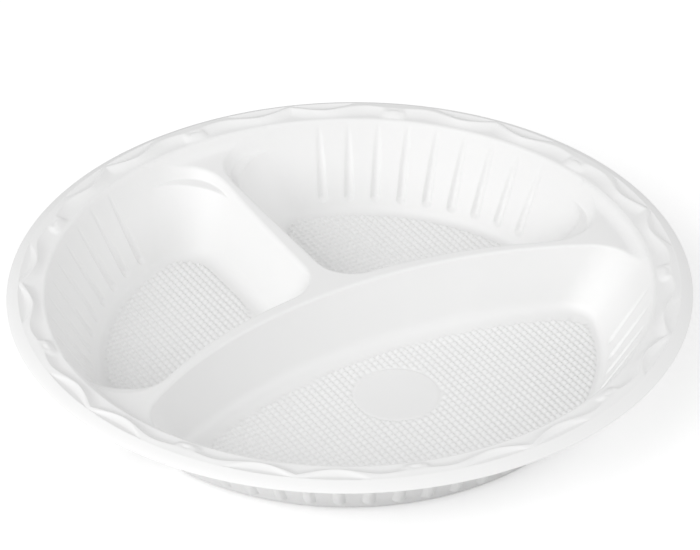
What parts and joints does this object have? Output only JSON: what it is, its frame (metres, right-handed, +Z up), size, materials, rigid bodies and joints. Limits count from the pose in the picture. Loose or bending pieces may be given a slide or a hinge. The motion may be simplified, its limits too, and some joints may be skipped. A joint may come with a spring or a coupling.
{
  "type": "divided compartment plate",
  "caption": "Round disposable plate formed from one thin sheet, with a main well, side wells, raised dividers and an embossed rim, for serving foods apart.",
  "frame": {"origin": "middle of the round outline, at the height of the undersides of the floors", "axes": "+Z up, out of the wells; +Y from the main well along the straight divider; +X towards the right small well"},
  "size_m": [0.22, 0.22, 0.0294],
  "materials": {
    "plastic": "satin"
  },
  "bodies": {
    "root": {"rim": "plastic", "dividers": "plastic", "main_wall": "plastic", "main_floor": "plastic", "left_wall": "plastic", "left_floor": "plastic", "right_wall": "plastic", "right_floor": "plastic"}
  },
  "joints": []
}
